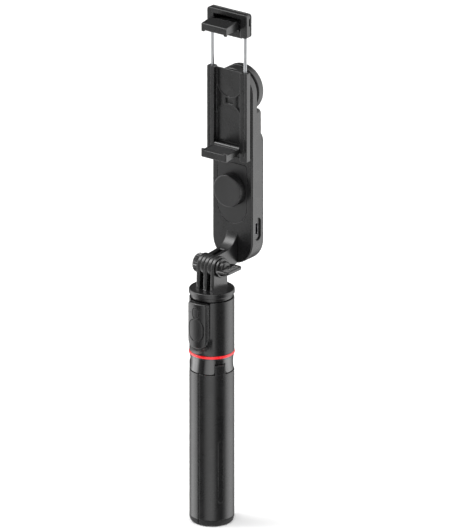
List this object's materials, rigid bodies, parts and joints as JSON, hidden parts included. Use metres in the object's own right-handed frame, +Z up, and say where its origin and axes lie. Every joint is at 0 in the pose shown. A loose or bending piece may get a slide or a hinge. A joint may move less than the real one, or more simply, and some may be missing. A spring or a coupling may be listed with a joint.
{
  "type": "selfie stick",
  "caption": "Tripod selfie stick with folding legs, telescopic pole, detachable remote, tilting arm and a turning phone clamp.",
  "frame": {"origin": "on the handle's axis, on the surface that the folded legs stand on", "axes": "+X to the user's right along the phone clamp's width, -Y towards the user and the phone's screen side, +Z up along the handle and pole"},
  "size_m": [0.0375, 0.0579, 0.378],
  "materials": {
    "satin_black": "satin moulded ABS with a fine spark texture",
    "soft_black": "soft-touch matt plastic",
    "gloss_black": "high-gloss moulded plastic",
    "red_plastic": "glossy red plastic",
    "black_rubber": "matt rubber",
    "bush_plastic": "natural acetal",
    "steel": "plated steel",
    "rod_steel": "ground stainless rod",
    "tube_steel": "drawn stainless tube",
    "circuit_board": "green solder mask",
    "battery_wrap": "blue shrink wrap",
    "motor_copper": "copper windings on a steel stack",
    "led_lens": "clear lens"
  },
  "bodies": {
    "hub": {"leg_hub": "satin_black", "collar_cover": "gloss_black", "accent_ring": "red_plastic", "leg_pins": "steel"},
    "leg_1": {"leg_shell_1": "satin_black", "leg_liner_1": "satin_black", "leg_foot_1": "black_rubber"},
    "leg_2": {"leg_shell_2": "satin_black", "leg_liner_2": "satin_black", "leg_foot_2": "black_rubber"},
    "leg_3": {"leg_shell_3": "satin_black", "leg_liner_3": "satin_black", "leg_foot_3": "black_rubber"},
    "tube_1": {"pole_tube_1": "tube_steel", "pole_end_plug": "satin_black"},
    "tube_2": {"pole_tube_2": "tube_steel", "tube_bush_2": "bush_plastic"},
    "tube_3": {"pole_tube_3": "tube_steel", "tube_bush_3": "bush_plastic"},
    "head": {"pole_tube_4": "tube_steel", "tube_bush_4": "bush_plastic", "head_housing": "satin_black", "head_lid": "satin_black", "lid_screws": "steel"},
    "remote": {"remote_front": "satin_black", "remote_back": "satin_black", "remote_board": "circuit_board", "coin_cell": "steel", "status_led": "led_lens"},
    "shutter": {"shutter_button": "soft_black"},
    "mode": {"mode_button": "soft_black"},
    "pan": {"pan_cap": "satin_black", "pan_screw": "steel"},
    "wing": {"hinge_bolt": "steel", "wing_knob": "satin_black"},
    "nut": {"knurled_nut": "satin_black"},
    "arm": {"arm_bracket": "satin_black", "arm_front_shell": "satin_black", "arm_back_cover": "satin_black", "arm_screws": "steel", "inlay_panel": "soft_black", "battery": "battery_wrap", "control_board": "circuit_board", "usb_port": "steel", "motor_stator": "motor_copper", "roll_bearing": "steel", "pod_cover": "satin_black"},
    "arm_push": {"arm_button": "soft_black"},
    "clamp": {"clamp_frame": "satin_black", "roll_shaft": "steel", "motor_rotor": "steel", "jaw_pin": "steel"},
    "upper_slide": {"clamp_rods": "rod_steel", "crossbar": "satin_black", "crossbar_back": "satin_black", "hook_pin": "steel"},
    "hook": {"upper_hook": "satin_black", "upper_pad": "black_rubber"},
    "jaw": {"lower_jaw": "satin_black", "lower_pad": "black_rubber"}
  },
  "joints": [
    {"name": "leg_1_hinge", "type": "hinge", "parent": "hub", "child": "leg_1", "pos_m": [0.01143, -0.0066, 0.1194], "axis": [-0.5, -0.866, 0], "range_deg": [0, 60]},
    {"name": "leg_2_hinge", "type": "hinge", "parent": "hub", "child": "leg_2", "pos_m": [0, 0.0132, 0.1194], "axis": [1, 0, 0], "range_deg": [0, 60]},
    {"name": "leg_3_hinge", "type": "hinge", "parent": "hub", "child": "leg_3", "pos_m": [-0.01143, -0.0066, 0.1194], "axis": [-0.5, 0.866, 0], "range_deg": [0, 60]},
    {"name": "pole_slide_1", "type": "slide", "parent": "hub", "child": "tube_1", "axis": [0, 0, 1], "range_m": [0, 0.1]},
    {"name": "pole_slide_2", "type": "slide", "parent": "tube_1", "child": "tube_2", "axis": [0, 0, 1], "range_m": [0, 0.1]},
    {"name": "pole_slide_3", "type": "slide", "parent": "tube_2", "child": "tube_3", "axis": [0, 0, 1], "range_m": [0, 0.1]},
    {"name": "pole_slide_4", "type": "slide", "parent": "tube_3", "child": "head", "axis": [0, 0, 1], "range_m": [0, 0.1]},
    {"name": "remote_release", "type": "slide", "parent": "head", "child": "remote", "axis": [0, -1, 0], "range_m": [0, 0.025]},
    {"name": "shutter_press", "type": "slide", "parent": "remote", "child": "shutter", "axis": [0, 1, 0], "range_m": [0, 0.0005], "stiffness_N_per_m": 1200},
    {"name": "mode_press", "type": "slide", "parent": "remote", "child": "mode", "axis": [0, 1, 0], "range_m": [0, 0.0004], "stiffness_N_per_m": 1200},
    {"name": "pan_turn", "type": "hinge", "parent": "head", "child": "pan", "pos_m": [0, 0, 0.172], "axis": [0, 0, 1], "continuous": true},
    {"name": "wing_turn", "type": "hinge", "parent": "pan", "child": "wing", "pos_m": [0.0109, 0, 0.1921], "axis": [1, 0, 0], "continuous": true},
    {"name": "nut_turn", "type": "hinge", "parent": "pan", "child": "nut", "pos_m": [-0.0102, 0, 0.1921], "axis": [1, 0, 0], "continuous": true},
    {"name": "tilt", "type": "hinge", "parent": "pan", "child": "arm", "pos_m": [0, 0, 0.1921], "axis": [1, 0, 0], "range_deg": [-20, 160]},
    {"name": "arm_button_press", "type": "slide", "parent": "arm", "child": "arm_push", "axis": [0, 1, 0], "range_m": [0, 0.001], "stiffness_N_per_m": 900},
    {"name": "clamp_roll", "type": "hinge", "parent": "arm", "child": "clamp", "pos_m": [0, 0.0221, 0.316], "axis": [0, 1, 0], "range_deg": [-120, 120]},
    {"name": "clamp_close", "type": "slide", "parent": "clamp", "child": "upper_slide", "axis": [0, 0, -1], "range_m": [0, 0.0245]},
    {"name": "hook_fold", "type": "hinge", "parent": "upper_slide", "child": "hook", "pos_m": [0, 0.0189, 0.36662], "axis": [1, 0, 0], "range_deg": [0, 90]},
    {"name": "jaw_fold", "type": "hinge", "parent": "clamp", "child": "jaw", "pos_m": [0, 0.0189, 0.27603], "axis": [-1, 0, 0], "range_deg": [0, 90]}
  ]
}
